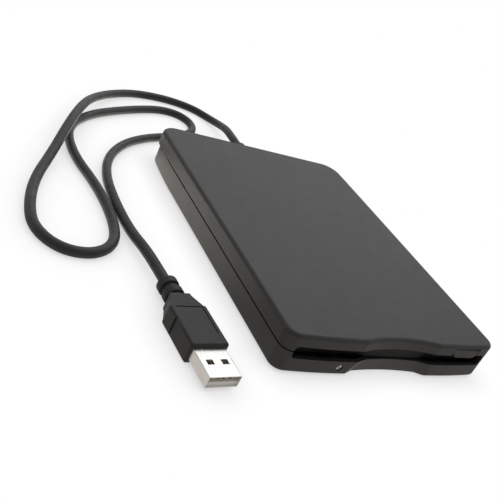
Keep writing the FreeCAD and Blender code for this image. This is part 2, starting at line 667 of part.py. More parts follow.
def make_stepper():
    """Can of the stepper motor with its raised front ring and terminal block."""
    y = motor_front()
    can = rod_y(SCREW_X, SCREW_Z, y, y + MOTOR_LEN, MOTOR_R)
    can = rounded(can, 0.5, lambda e: all(abs(v.Point.y - y - MOTOR_LEN) < 1e-4 for v in e.Vertexes))
    terminals = box(SCREW_X - 3, SCREW_X + 3, y + 3, y + 10, SCREW_Z + MOTOR_R - 1, SCREW_Z + MOTOR_R + 0.9)
    bore = rod_y(SCREW_X, SCREW_Z, y - 1, y + 4, 0.7 + PIN_GAP)
    return cut(fuse([can, terminals]), [bore])


def make_lead_screw():
    """Lead screw with a helical groove cut into its shaft, and thin journals at both ends."""
    y0 = screw_tail() + 1.1
    y1 = motor_front() - 0.3
    core = rod_y(SCREW_X, SCREW_Z, y0, y1, SCREW_R)
    grooves = []
    y = y0 + 1.2
    while y < y1 - 1.0:
        ring = rod_y(SCREW_X, SCREW_Z, y - 0.35, y + 0.35, SCREW_R + 1).cut(
            rod_y(SCREW_X, SCREW_Z, y - 0.5, y + 0.5, SCREW_R - 0.4))
        grooves.append(ring)
        y += SCREW_PITCH / 2
    core = cut(core, grooves)
    journals = [rod_y(SCREW_X, SCREW_Z, screw_tail() - 0.9, y0 + 0.5, 0.7),
                rod_y(SCREW_X, SCREW_Z, y1 - 0.5, motor_front() + 2.5, 0.7)]
    return fuse([core] + journals)


def make_guide_rod():
    """Polished rod that the head carriage runs on."""
    ends = rod_ends()
    return rod_y(ROD_X, ROD_Z, ends[0], ends[1] + 1.8, ROD_R)


def make_carriage():
    """Head carriage: rod bearing, body, screw follower, hinge ears and a flat arm under the disk."""
    y0 = body_y0()
    y1 = body_y1()
    bearing = rod_y(ROD_X, ROD_Z, y0, y1, 2.5)
    body = box(-2.5, ROD_X, y0, y1, 5.6, 8.6)
    lower_arm = box(ARM_X0, ARM_X1, HEAD_OUTER_Y - 3.5, y0 + 1, BASE_Z, BASE_Z + 0.7)
    web = box(ARM_X0, ARM_X1, y0, y1, BASE_Z, 6.0)
    follower = box(SCREW_X - 1.0, -1.5, y0 + 1, y0 + 3, SCREW_Z + SCREW_R + 0.1, SCREW_Z + SCREW_R + 0.9)
    neck = box(-2.5, -1.3, y0 + 1, y0 + 3, 8.4, SCREW_Z + SCREW_R + 0.9)
    ears = [box(x, x + 1.2, pivot_y() - 1.5, pivot_y() + 1.5, 8.4, 11.2) for x in (ARM_X0 - 1.0, ARM_X1 - 0.2)]
    whole = fuse([bearing, body, lower_arm, web, follower, neck] + ears)
    bore = rod_y(ROD_X, ROD_Z, y0 - 1, y1 + 1, ROD_R + PIN_GAP)
    pin_hole = rod_x(pivot_y(), ARM_PIVOT_Z, ARM_X0 - 3, ARM_X1 + 3, 0.5 + PIN_GAP)
    return cut(whole, [bore, pin_hole])


def pivot_y():
    """Hinge line of the upper head arm."""
    return body_y0() + 5.0


def raise_arm(shape):
    """Turn a piece of the upper arm from the reading pose to the raised pose."""
    shape.rotate(V(0, pivot_y(), ARM_PIVOT_Z), V(1, 0, 0), -ARM_DROP_DEG)
    return shape


def make_lower_head():
    """Ceramic slider on the lower arm, its face at the middle of a loaded disk."""
    slider = box(0.3, 4.7, HEAD_OUTER_Y - 2.2, HEAD_OUTER_Y + 2.2, BASE_Z + 0.7, HEAD_PLANE_Z - 0.05)
    return rounded(slider, 0.3, flat_at(HEAD_PLANE_Z - 0.05))


def make_arm():
    """Upper head arm on its hinge pin, raised clear of the bay."""
    pin = rod_x(pivot_y(), ARM_PIVOT_Z, ARM_X0 - 1.0, ARM_X1 + 1.0, 0.5)
    hub = rod_x(pivot_y(), ARM_PIVOT_Z, ARM_X0 + 0.3, ARM_X1 - 0.3, 1.0)
    blade = box(ARM_X0 + 0.5, ARM_X1 - 0.5, HEAD_OUTER_Y - 3, pivot_y(), ARM_PIVOT_Z - 0.3, ARM_PIVOT_Z + 0.4)
    opening = box(1.0, 4.0, HEAD_OUTER_Y + 6, pivot_y() - 6, ARM_PIVOT_Z - 1, ARM_PIVOT_Z + 1)
    return fuse([pin, hub, raise_arm(cut(blade, [opening]))])


def make_upper_head():
    """Ceramic slider under the upper arm."""
    low = HEAD_PLANE_Z + 0.05
    slider = box(0.3, 4.7, HEAD_OUTER_Y - 2.2, HEAD_OUTER_Y + 2.2, low, ARM_PIVOT_Z - 0.3)
    return raise_arm(rounded(slider, 0.3, flat_at(low)))


def lever_arc_slot():
    """Curved slot in the carrier that the lever's pin sweeps along."""
    z0 = CARRIER_TOP_Z - 2
    z1 = CARRIER_TOP_Z + 1
    half = LEVER_PIN_R + 0.4
    ring = post(LEVER_X, LEVER_Y, z0, z1, LEVER_LEN + half).cut(post(LEVER_X, LEVER_Y, z0, z1, LEVER_LEN - half))
    far = 2 * LEVER_LEN
    spread = [LEVER_REST_DEG - 4, LEVER_REST_DEG + LEVER_SWING_DEG / 2, LEVER_REST_DEG + LEVER_SWING_DEG + 4]
    corners = [V(LEVER_X, LEVER_Y, z0)] + [V(*on_circle(LEVER_X, LEVER_Y, far, a), z0) for a in spread]
    wedge = Part.Face(Part.makePolygon(corners + corners[:1])).extrude(V(0, 0, z1 - z0))
    return ring.common(wedge)


def make_lever():
    """Shutter lever: a flat arm that swings over the carrier, with a pin that the disk pushes."""
    top = LEVER_Z + LEVER_T
    hub = post(LEVER_X, LEVER_Y, LEVER_Z - 0.2, top, 3.0)
    end = on_circle(LEVER_X, LEVER_Y, LEVER_LEN, LEVER_REST_DEG)
    arm = Part.makeBox(LEVER_LEN, 3.2, LEVER_T, V(0, -1.6, 0))
    arm.rotate(V(0, 0, 0), V(0, 0, 1), LEVER_REST_DEG)
    arm.translate(V(LEVER_X, LEVER_Y, LEVER_Z))
    tip = post(end[0], end[1], LEVER_Z, top, 2.2)
    pin = post(end[0], end[1], DISK_REST_Z + 1.0, top, LEVER_PIN_R)
    lever = fuse([hub, arm, tip, pin])
    return cut(lever, [post(LEVER_X, LEVER_Y, LEVER_Z - 2, LEVER_Z + 2, 1.2 + PIN_GAP)])


def make_lever_post():
    """Shouldered post on the base that the lever turns on."""
    shoulder = post(LEVER_X, LEVER_Y, BASE_TOP, LEVER_Z - 0.2 - SEAT_GAP, 2.2)
    journal = post(LEVER_X, LEVER_Y, BASE_TOP, LEVER_Z + LEVER_T + 0.2, 1.2)
    return fuse([shoulder, journal])


def make_flap():
    """Dust flap that hangs behind the slot, with barrel ends on its pin."""
    half = SLOT_HALF - 1.2
    plate = box(-half, half, FLAP_Y, FLAP_Y + FLAP_T, SLOT_Z0 + 0.15, FLAP_HINGE_Z)
    inner = FLAP_PAD_HALF - FLAP_PAD_SLOPE
    low = SLOT_Z0 + FLAP_PAD_LOW
    corners = [V(-FLAP_PAD_HALF, FLAP_Y + 0.1, low), V(-inner, FLAP_Y - FLAP_PAD_PROUD, low),
               V(inner, FLAP_Y - FLAP_PAD_PROUD, low), V(FLAP_PAD_HALF, FLAP_Y + 0.1, low)]
    pad = Part.Face(Part.makePolygon(corners + corners[:1])).extrude(V(0, 0, SLOT_Z1 - 0.7 - low))
    barrel = rod_x(FLAP_HINGE_Y, FLAP_HINGE_Z, -half, half, FLAP_BARREL_R)
    return cut(fuse([plate, pad, barrel]), [rod_x(FLAP_HINGE_Y, FLAP_HINGE_Z, -half - 1, half + 1, FLAP_PIN_R + PIN_GAP)])


def make_flap_pin():
    """Steel pin that the flap turns on."""
    return rod_x(FLAP_HINGE_Y, FLAP_HINGE_Z, -SLOT_HALF - 0.4, SLOT_HALF + 0.4, FLAP_PIN_R)


def make_usb_board():
    """Interface board across the rear of the case."""
    board = box(-30, 30, MECH_Y1 + 1.4, REAR_Y - WALL - 1.5, USB_BOARD_Z, USB_BOARD_Z + BOARD_T)
    return board


def board_rails():
    """Two moulded rails on the floor that carry the interface board."""
    return [box(x - 1, x + 1, MECH_Y1 + 2, REAR_Y - WALL + 0.2, FLOOR_TOP - 0.1, USB_BOARD_Z) for x in (-26, 26)]


def make_chips():
    """Packages and connectors on the interface board."""
    z = USB_BOARD_Z + BOARD_T
    y0 = MECH_Y1 + 1.8
    y1 = REAR_Y - WALL - 1.9
    parts = [box(-18, -13, y0, y1, z, z + 1.1), box(14, 20, y0 + 0.3, y1 - 0.3, z, z + 1.6),
             box(-27, -22, y0, y1, z, z + 3.0)]
    return Part.makeCompound(parts)


def make_control_chips():
    """Packages under the main board."""
    places = [(-30, 22, 9, 9), (14, 24, 7, 7), (26, 20, 7, 6)]
    return Part.makeCompound([box(x, x + w, y, y + d, BOARD_TOP, BOARD_TOP + 0.7) for x, y, w, d in places])


def make_ribbon():
    """Flat cable folded from the main board up to the interface board."""
    x0 = 22.0
    x1 = 29.0
    t = 0.25
    bend = MECH_Y1 + 0.9
    top = USB_BOARD_Z + BOARD_T
    low = box(x0, x1, MECH_Y1 - 8, bend, BOARD_TOP, BOARD_TOP + t)
    rise = box(x0, x1, bend - t, bend, BOARD_TOP, top + t)
    high = box(x0, x1, bend - t, MECH_Y1 + 4, top, top + t)
    return fuse([low, rise, high])


def make_sensors():
    """Two push switches at the bay's edge that feel for the disk and its tab."""
    bodies = [box(x - 2.5, x + 2.5, -56, -52, BASE_TOP, BASE_TOP + 0.9) for x in (-34, 34)]
    return Part.makeCompound(bodies)


def make_cover_screws():
    """Four small screws that hold the shield to tabs of the chassis."""
    screws = []
    for sx in (-1, 1):
        for y in (-50.0, 50.0):
            head = post(sx * (MECH_HALF - 3.5), y, COVER_TOP, COVER_TOP + 0.25, 1.6)
            screws.append(head)
    return Part.makeCompound(screws)


def make_boot():
    """Strain relief at the case: flange inside the wall, then a ribbed taper."""
    flange = rod_y(0, CORD_EXIT_Z, REAR_Y - WALL - 1.2, REAR_Y - WALL, BOOT_R0 + 0.6)
    neck = rod_y(0, CORD_EXIT_Z, REAR_Y - WALL - 0.2, REAR_Y + 0.2, BOOT_R1)
    cone = Part.makeCone(BOOT_R0, BOOT_R1, BOOT_LEN, V(0, REAR_Y, CORD_EXIT_Z), V(0, 1, 0))
    grooves = [rod_y(0, CORD_EXIT_Z, REAR_Y + y, REAR_Y + y + 0.8, 6).cut(
        rod_y(0, CORD_EXIT_Z, REAR_Y + y - 1, REAR_Y + y + 2, BOOT_R1 - 0.35)) for y in (3.0, 5.4, 7.8)]
    return fuse([flange, neck, cut(cone, grooves)])


def cord_path():
    """Straight runs joined by tangent arcs as large as the runs allow, and the arcs' radii."""
    points = [V(REAR_POINT[0], REAR_POINT[1], REAR_POINT[2])] + [V(*p) for p in CORD_ROUTE]
    edges = []
    radii = []
    last = points[0]
    for before, corner, after in zip(points, points[1:], points[2:]):
        run = min((corner - before).Length, (after - corner).Length)
        into = (corner - before).normalize()
        out = (after - corner).normalize()
        turn = into.getAngle(out)
        reach = 0.45 * run
        start = corner - into * reach
        end = corner + out * reach
        radius = reach / math.tan(turn / 2)
        bisector = (out - into).normalize()
        middle = corner + bisector * (radius / math.cos(turn / 2) - radius)
        edges.append(Part.LineSegment(last, start).toShape())
        edges.append(Part.Arc(start, middle, end).toShape())
        radii.append(radius)
        last = end
    edges.append(Part.LineSegment(last, points[-1]).toShape())
    return Part.Wire(edges), radii



def make_cord():
    """Tube of the cord along its route."""
    path, radii = cord_path()
    first = path.Edges[0]
    start = first.valueAt(first.FirstParameter)
    heading = first.tangentAt(first.FirstParameter)
    section = Part.Wire([Part.makeCircle(CORD_R, start, heading)])
    tube = path.makePipeShell([section], True, False)
    print("cord radii", [round(r, 1) for r in radii])
    print("cord length", round(path.Length, 1), "volume ratio",
          round(tube.Volume / (math.pi * CORD_R ** 2 * path.Length), 4))
    return tube


def to_plug(shape):
    """Move a piece from the plug's own frame, with the cord entering at its origin, to the floor."""
    shape.rotate(V(0, 0, 0), V(0, 0, 1), PLUG_TURN)
    shape.translate(V(PLUG_START[0], PLUG_START[1], PLUG_Z))
    return shape


def make_plug_boot():
    """Strain relief of the plug: a soft core with two thick rings."""
    core = rod_y(0, 0, -PLUG_BOOT_LEN, 0, PLUG_BOOT_CORE_R)
    rings = []
    for near, far in PLUG_RINGS:
        ring = rod_y(0, 0, -far, -near, PLUG_BOOT_R)
        rings.append(rounded(ring, 0.6, lambda e: e.Length > PLUG_BOOT_R * 6))
    return to_plug(fuse([core] + rings))


def plug_slab(half_rear, half_front, y0, y1, half_t):
    """Tapered slab of the moulded grip."""
    corners = [V(-half_rear, y0, -half_t), V(half_rear, y0, -half_t), V(half_front, y1, -half_t),
               V(-half_front, y1, -half_t), V(-half_rear, y0, -half_t)]
    return Part.Face(Part.makePolygon(corners)).extrude(V(0, 0, 2 * half_t))


def make_overmould():
    """Moulded grip of the plug: neck, spreading shoulder, then a straight body with a lined top."""
    y0 = -PLUG_BOOT_LEN
    y_neck = y0 - PLUG_NECK_LEN
    y_body = y_neck - PLUG_SHOULDER_LEN
    y1 = y0 - PLUG_LEN
    half_t = PLUG_T / 2
    half_w = PLUG_W / 2
    low_t = half_t - PLUG_NECK_LOWER
    neck = plug_slab(PLUG_NECK_W / 2 - 0.4, PLUG_NECK_W / 2, y0, y_neck, low_t)
    shoulder = plug_slab(PLUG_NECK_W / 2, half_w - 0.2, y_neck, y_body, low_t)
    body = plug_slab(half_w, half_w, y_body + 1.0, y1, half_t)
    body = rounded(body, 1.0, lambda e: e.Length > PLUG_LEN / 2 or abs(e.tangentAt(e.FirstParameter).z) > 0.9)
    grip = fuse([neck, shoulder, body])
    cuts = [box(-PLUG_SHELL_W / 2, PLUG_SHELL_W / 2, y1 - 1, y1 + PLUG_SINK, -PLUG_SHELL_T / 2, PLUG_SHELL_T / 2)]
    line_z = half_t - PLUG_LINE
    line_x = half_w - 1.8
    cuts.append(box(-line_x, line_x, y_body - PLUG_LINE_W, y_body, line_z, half_t + 1))
    cuts.append(box(line_x - PLUG_LINE_W, line_x, y_body - PLUG_LINE_LEN, y_body, line_z, half_t + 1))
    grip_y = y1 + PLUG_GRIP_AT
    cuts += [box(min(x, x * 2), max(x, x * 2), grip_y, grip_y + PLUG_GRIP_LEN, -half_t, half_t)
             for x in (half_w - PLUG_GRIP_DEEP, PLUG_GRIP_DEEP - half_w)]
    return to_plug(cut(grip, cuts))


def make_plug_shell():
    """Folded metal shell of the plug with its four latch holes."""
    y0 = -PLUG_BOOT_LEN - PLUG_LEN + PLUG_SINK
    y1 = y0 - PLUG_SINK - PLUG_SHELL_LEN
    half_w = PLUG_SHELL_W / 2
    half_t = PLUG_SHELL_T / 2
    wall = PLUG_SHELL_WALL
    outer = rounded(box(-half_w, half_w, y1, y0, -half_t, half_t), 0.5, lambda e: e.Length > PLUG_SHELL_LEN)
    inner = box(-half_w + wall, half_w - wall, y1 - 1, y0 + 1, -half_t + wall, half_t - wall)
    holes = [box(x - 1.25, x + 1.25, y1 + 5.2, y1 + 7.4, -half_t - 1, half_t + 1) for x in (-2.7, 2.7)]
    return to_plug(cut(outer, [inner] + holes))


def make_tongue():
    """Insulating tongue inside the shell, filling its rear."""
    y0 = -PLUG_BOOT_LEN - PLUG_LEN + PLUG_SINK
    y1 = y0 - PLUG_SINK - PLUG_SHELL_LEN
    half_w = PLUG_SHELL_W / 2 - PLUG_SHELL_WALL
    half_t = PLUG_SHELL_T / 2 - PLUG_SHELL_WALL
    root = box(-half_w, half_w, y0 - 4, y0, -half_t, half_t)
    tongue = box(-half_w, half_w, y1 + 0.6, y0 - 4, -half_t, -half_t + 1.6)
    return to_plug(fuse([root, tongue]))


def make_contacts():
    """Four contact strips on the tongue."""
    y1 = -PLUG_BOOT_LEN - PLUG_LEN - PLUG_SHELL_LEN
    z = -PLUG_SHELL_T / 2 + PLUG_SHELL_WALL + 1.6
    strips = [box(x - 0.5, x + 0.5, y1 + 1.6, y1 + 9.0, z, z + 0.15) for x in (-3.5, -1.0, 1.0, 3.5)]
    return to_plug(Part.makeCompound(strips))


NODES = {
    "bottom_shell": make_bottom_shell,
    "top_shell": make_top_shell,
    "rubber_feet": make_feet,
    "case_screws": make_case_screws,
    "led_lens": make_led_lens,
    "eject_button": make_button,
    "eject_slide": make_eject_slide,
    "disk_carrier": make_carrier,
    "drive_chassis": make_chassis,
    "shield_cover": make_cover,
    "cover_screws": make_cover_screws,
    "spindle_board": make_spindle_board,
    "control_board": make_control_board,
    "control_chips": make_control_chips,
    "stator_coils": make_stator,
    "spindle_bearing": make_bearing,
    "spindle_rotor": make_rotor,
    "hub_magnet": make_rotor_magnet,
    "stepper_motor": make_stepper,
    "lead_screw": make_lead_screw,
    "guide_rod": make_guide_rod,
    "head_carriage": make_carriage,
    "lower_head": make_lower_head,
    "upper_head_arm": make_arm,
    "upper_head": make_upper_head,
    "shutter_lever": make_lever,
    "lever_post": make_lever_post,
    "dust_flap": make_flap,
    "flap_pin": make_flap_pin,
    "usb_board": make_usb_board,
    "usb_chips": make_chips,
    "ribbon_cable": make_ribbon,
    "disk_sensors": make_sensors,
    "cord_boot": make_boot,
    "usb_cord": make_cord,
    "plug_boot": make_plug_boot,
    "plug_grip": make_overmould,
    "plug_shell": make_plug_shell,
    "plug_tongue": make_tongue,
    "plug_contacts": make_contacts,
}


os.makedirs("parts", exist_ok=True)
for name, build in NODES.items():
    shape = build()
    shape.exportStep("parts/" + name + ".step")
    print(name, "solids", len(shape.Solids), "valid", shape.isValid(), "volume", round(shape.Volume, 1))
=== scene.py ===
import json
import bpy
from mathutils import Matrix, Vector


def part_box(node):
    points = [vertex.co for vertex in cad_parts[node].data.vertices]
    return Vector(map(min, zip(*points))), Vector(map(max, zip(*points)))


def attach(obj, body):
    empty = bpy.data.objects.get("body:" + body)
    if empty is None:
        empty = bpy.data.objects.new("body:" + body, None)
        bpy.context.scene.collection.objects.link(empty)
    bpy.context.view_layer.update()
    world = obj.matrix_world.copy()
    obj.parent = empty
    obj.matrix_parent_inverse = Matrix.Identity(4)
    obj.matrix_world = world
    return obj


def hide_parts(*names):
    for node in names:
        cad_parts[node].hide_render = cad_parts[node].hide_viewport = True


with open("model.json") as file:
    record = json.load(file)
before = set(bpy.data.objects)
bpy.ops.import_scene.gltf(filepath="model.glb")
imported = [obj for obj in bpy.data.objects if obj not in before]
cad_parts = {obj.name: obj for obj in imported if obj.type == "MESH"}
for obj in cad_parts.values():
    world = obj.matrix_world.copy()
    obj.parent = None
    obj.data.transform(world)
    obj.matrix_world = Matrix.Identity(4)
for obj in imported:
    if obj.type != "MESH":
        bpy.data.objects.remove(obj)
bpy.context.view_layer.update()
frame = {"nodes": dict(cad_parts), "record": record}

NODES = frame["nodes"]
MM = 0.001

# Cord, in metres, and its control points in millimetres
CORD_DIAMETER = 0.004
CORD_STEPS = 12
CORD_ROUNDNESS = 7
CORD_ROUTE_MM = [
    (0, 82, 9.5),
    (0.5, 93, 9.5), (3, 105, 8), (6.5, 117, 4.5), (4.5, 129.5, 2.1), (-3, 138, 2.1), (-18, 141.5, 2.1),
    (-38, 138, 2.1), (-54.5, 127.5, 2.5), (-68.5, 111, 5), (-79, 93, 8), (-90, 71, 8), (-101, 48, 3.5),
    (-111, 28, 2.1), (-116.3, 10, 2.1), (-117.8, -5, 2.1), (-111.3, -15.8, 2.1), (-100, -17.4, 2.1),
    (-90, -10, 2.1), (-85.9, 5, 2.1), (-86.1, 29, 2.1), (-91, 54, 2.1), (-88, 78, 2.1), (-74, 96, 2.1),
    (-56, 109, 2.1), (-38, 119.5, 2.1), (-26, 124.5, 2.1), (-16.5, 123.5, 2.1), (-12, 116, 2.1),
    (-14.5, 106, 2.1), (-24, 97, 2.1), (-36, 91, 2.1), (-50, 83.5, 2.1), (-63, 73, 2.1),
    (-74, 58, 2.1), (-80, 41, 2.1), (-81.6, 21, 2.1), (-81.4, 0, 2.6), (-79.1, -15, 4),
    (-78.1, -31.4, 4),
]

# Painted shade round the eject key: a dull black tube along the rim of its opening, and a darker band of
# the key's own colour in the groove round its front
KEY_SHADE_RIM = 0.7 * MM
KEY_SHADE_RIM_STEPS = 8
KEY_SHADE_RIM_ROUNDNESS = 3
KEY_CORNER = 3.2 * MM
KEY_BEND = 0.45 * KEY_CORNER
KEY_FACE_DEPTH = 0.8 * MM
KEY_GROOVE_SHADE = 0.55 * MM

# Painted highlights in the lamp: two pale glints in the lens colour, where each lies from the middle of
# the lens, along x and z, and where it fades out
GLINT_HIGH = (0.35 * MM, 0.4 * MM)
GLINT_LOW = (-0.45 * MM, -0.4 * MM)
GLINT_HIGH_REACH = (0.25 * MM, 0.75 * MM)
GLINT_LOW_REACH = (0.2 * MM, 0.7 * MM)

# Size of the patches of colour and of gloss in plastic, and of the clouds and streaks in metal
PATCH_MM = 22.0
GLOSS_MM = 6.0
CLOUD_MM = 5.0
STREAK_MM = 0.8

# One speck of dust in each cell of the case, its reach in cell sizes
DUST_CELL_MM = 9.0
DUST_REACH = (0.012, 0.028)

# Roughness of every noise and of the lens coat, and how far gloss strays from its middle value
NOISE_ROUGHNESS = 0.55
COAT_ROUGHNESS = 0.1
GLOSS_STRAY = 0.02

# Camera, from the photograph
CAMERA_PLACE = Vector((-0.19107, -0.20911, 0.13423))
CAMERA_FORWARD = Vector((0.58700, 0.68118, -0.43752)).normalized()
CAMERA_UP = Vector((-0.11022, 0.60263, 0.79037))
CAMERA_LENS = 51.92
CAMERA_SENSOR = 36.0
CAMERA_SHIFT = (-0.0623, 0.01607)
CAMERA_NEAR = 0.01
CAMERA_FAR = 20.0

# White paper floor, a hair under the feet, with a soft shadow where the object is close to it
FLOOR_HALF = 3.0
FLOOR_Z = -0.05 * MM
SHADOW_REACH = 0.012
SHADOW_LEVEL = 0.55

# What the object sees of the paper: warm, and brightest beside its rear left corner
PAPER_TINT = (1.0, 0.95, 0.88, 1)
GLOW_MIDDLE = (-0.066, 0.066, 0)
GLOW_STRETCH = (2.2, 1, 1)
GLOW_REACH = (0.02, 0.105)
GLOW_LEVELS = (2.1, 0.55)

# What the object sees of the room: brighter behind it than before it
WHITE = (1, 1, 1, 1)
ROOM_BRIGHT_WAY = (0.60, 0.77, 0.20)
ROOM_SPREAD = 0.7
ROOM_LEVELS = (0.26, 0.64)

# Lamps: place, size in metres and power in watts
LAMPS = {
    "key": ((0.35, 0.5, 0.85), (0.7, 0.7), 1.5),
    "rear": ((0.5, 1.1, 0.4), (1.6, 0.5), 0.8),
}


def place_camera():
    """Camera at the photograph's angle."""
    data = bpy.data.cameras.new("camera")
    data.lens = CAMERA_LENS
    data.sensor_width = CAMERA_SENSOR
    data.sensor_fit = "HORIZONTAL"
    data.shift_x, data.shift_y = CAMERA_SHIFT
    data.clip_start = CAMERA_NEAR
    data.clip_end = CAMERA_FAR
    camera = bpy.data.objects.new("camera", data)
    right = CAMERA_FORWARD.cross(CAMERA_UP).normalized()
    up = right.cross(CAMERA_FORWARD).normalized()
    turn = Matrix((right, up, -CAMERA_FORWARD)).transposed()
    camera.matrix_world = Matrix.Translation(CAMERA_PLACE) @ turn.to_4x4()
    bpy.context.collection.objects.link(camera)
    bpy.context.scene.camera = camera


def ramp_node(nodes, reach, levels):
    """Map Range node that turns a value within reach into a level."""
    node = nodes.new("ShaderNodeMapRange")
    node.inputs["From Min"].default_value = reach[0]
    node.inputs["From Max"].default_value = reach[1]
    node.inputs["To Min"].default_value = levels[0]
    node.inputs["To Max"].default_value = levels[1]
    return node


class Shader:
    """A node material with a Principled shader and helpers for its textures."""

    def __init__(self, name, metallic=0.0, specular=0.5, coat=0.0):
        self.material = bpy.data.materials.new(name)
        self.material.use_nodes = True
        self.nodes = self.material.node_tree.nodes
        self.links = self.material.node_tree.links
        self.shader = self.nodes["Principled BSDF"]
        self.shader.inputs["Metallic"].default_value = metallic
        self.shader.inputs["Specular IOR Level"].default_value = specular
        self.shader.inputs["Coat Weight"].default_value = coat
        self.shader.inputs["Coat Roughness"].default_value = COAT_ROUGHNESS
        self.place = self.nodes.new("ShaderNodeTexCoord").outputs["Object"]
        self.normal = None

    def stretch(self, scale):
        """The object's own coordinates, scaled along each axis."""
        node = self.nodes.new("ShaderNodeMapping")
        node.inputs["Scale"].default_value = scale
        self.links.new(self.place, node.inputs["Vector"])
        return node.outputs["Vector"]

    def noise(self, size_mm, detail=3.0, place=None):
        """Soft noise with features of this size."""
        node = self.nodes.new("ShaderNodeTexNoise")
        node.inputs["Scale"].default_value = 1.0 / (size_mm * MM)
        node.inputs["Detail"].default_value = detail
        node.inputs["Roughness"].default_value = NOISE_ROUGHNESS
        self.links.new(place or self.place, node.inputs["Vector"])
        return node.outputs["Fac"]

    def cells(self, size_mm):
        """Distance to the middle of the nearest cell, in cell sizes."""
        node = self.nodes.new("ShaderNodeTexVoronoi")
        node.inputs["Scale"].default_value = 1.0 / (size_mm * MM)
        self.links.new(self.place, node.inputs["Vector"])
        return node.outputs["Distance"]

    def span(self, value, low, high, reach=(0.3, 0.7)):
        """From low to high as the value goes through its reach."""
        node = ramp_node(self.nodes, reach, (low, high))
        self.links.new(value, node.inputs["Value"])
        return node.outputs["Result"]

    def mix(self, amount, first, second):
        """Colour between two others, each a colour or a socket."""
        node = self.nodes.new("ShaderNodeMix")
        node.data_type = "RGBA"
        self.links.new(amount, node.inputs["Factor"])
        for socket, value in ((node.inputs["A"], first), (node.inputs["B"], second)):
            if isinstance(value, tuple):
                socket.default_value = (*value, 1)
            else:
                self.links.new(value, socket)
        return node.outputs["Result"]

    def spot(self, x, z, reach):
        """One within the first reach of a line along y, and nothing beyond the second."""
        flat = self.nodes.new("ShaderNodeVectorMath")
        flat.operation = "MULTIPLY"
        flat.inputs[1].default_value = (1, 0, 1)
        self.links.new(self.place, flat.inputs[0])
        apart = self.nodes.new("ShaderNodeVectorMath")
        apart.operation = "DISTANCE"
        apart.inputs[1].default_value = (x, 0, z)
        self.links.new(flat.outputs["Vector"], apart.inputs[0])
        return self.span(apart.outputs["Value"], 1.0, 0.0, reach)

    def edge(self, axis, low, high):
        """Distance past the nearer of two edges along one axis, negative between them."""
        split = self.nodes.new("ShaderNodeSeparateXYZ")
        self.links.new(self.place, split.inputs["Vector"])
        shifted = self.math("SUBTRACT", split.outputs[axis], (low + high) / 2)
        return self.math("SUBTRACT", self.math("ABSOLUTE", shifted), (high - low) / 2)

    def math(self, operation, first, second=0.0):
        """Result of a sum on a socket and either a number or a second socket."""
        node = self.nodes.new("ShaderNodeMath")
        node.operation = operation
        self.links.new(first, node.inputs[0])
        if isinstance(second, float):
            node.inputs[1].default_value = second
        else:
            self.links.new(second, node.inputs[1])
        return node.outputs["Value"]

    def colour(self, value):
        """Base colour from a socket."""
        self.links.new(value, self.shader.inputs["Base Color"])

    def rough(self, low, high, texture):
        """Roughness from low to high over a texture."""
        self.links.new(self.span(texture, low, high), self.shader.inputs["Roughness"])

    def satin(self, rough, grain_mm, depth_mm):
        """Faint patches of gloss under a fine spark texture."""
        self.rough(rough - GLOSS_STRAY, rough + GLOSS_STRAY, self.noise(GLOSS_MM, 5.0))
        self.bump(self.noise(grain_mm, 2.0), depth_mm)

    def bump(self, height, depth_mm):
        """Adds a bump on top of those made before it."""
        node = self.nodes.new("ShaderNodeBump")
        node.inputs["Strength"].default_value = 1.0
        node.inputs["Distance"].default_value = depth_mm * MM
        self.links.new(height, node.inputs["Height"])
        if self.normal is not None:
            self.links.new(self.normal, node.inputs["Normal"])
        self.normal = node.outputs["Normal"]
        self.links.new(self.normal, self.shader.inputs["Normal"])


def moulded(name, dark, light, rough, grain_mm=0.35, depth_mm=0.02, specular=0.5):
    """Moulded plastic: fine spark texture, faint patches of colour and of gloss."""
    shader = Shader(name, specular=specular)
    patches = shader.span(shader.noise(PATCH_MM, 4.0), 0.0, 1.0)
    shader.colour(shader.mix(patches, dark, light))
    shader.satin(rough, grain_mm, depth_mm)
    return shader.material


def case_plastic(dark, light, dust):
    """Satin moulding with a fine spark texture, faint patches and a few specks of dust."""
    shader = Shader("case_satin")
    patches = shader.span(shader.noise(PATCH_MM, 4.0), 0.0, 1.0)
    plastic = shader.mix(patches, dark, light)
    specks = shader.span(shader.cells(DUST_CELL_MM), 1.0, 0.0, DUST_REACH)
    shader.colour(shader.mix(specks, plastic, dust))
    shader.satin(0.5, 0.45, 0.035)
    return shader.material


def jacket(dark, light):
    """Soft cord jacket, slightly uneven along its length, with a fine grain."""
    shader = Shader("jacket")
    patches = shader.span(shader.noise(9.0, 4.0), 0.0, 1.0)
    shader.colour(shader.mix(patches, dark, light))
    shader.rough(0.44, 0.56, shader.noise(4.0, 4.0))
    shader.bump(shader.noise(3.5, 2.0), 0.16)
    shader.bump(shader.noise(0.6), 0.006)
    return shader.material


def painted_shade_rim(dark, light):
    """Dull black for the painted shade along the rim of the key's opening."""
    shader = Shader("key_painted_shade_rim", specular=0.05)
    shader.colour(shader.mix(shader.noise(1.0), dark, light))
    shader.rough(0.85, 0.95, shader.noise(0.5))
    return shader.material


def plated(name, dark, light, rough, streak=(1, 1, 1)):
    """Plated or rolled metal: cloudy tint, and fine streaks in its gloss and bump."""
    shader = Shader(name, metallic=1.0)
    clouds = shader.span(shader.noise(CLOUD_MM, 4.0), 0.0, 1.0)
    shader.colour(shader.mix(clouds, dark, light))
    streaks = shader.noise(STREAK_MM, 4.0, shader.stretch(streak))
    shader.rough(rough - 0.08, rough + 0.1, streaks)
    shader.bump(streaks, 0.004)
    return shader.material


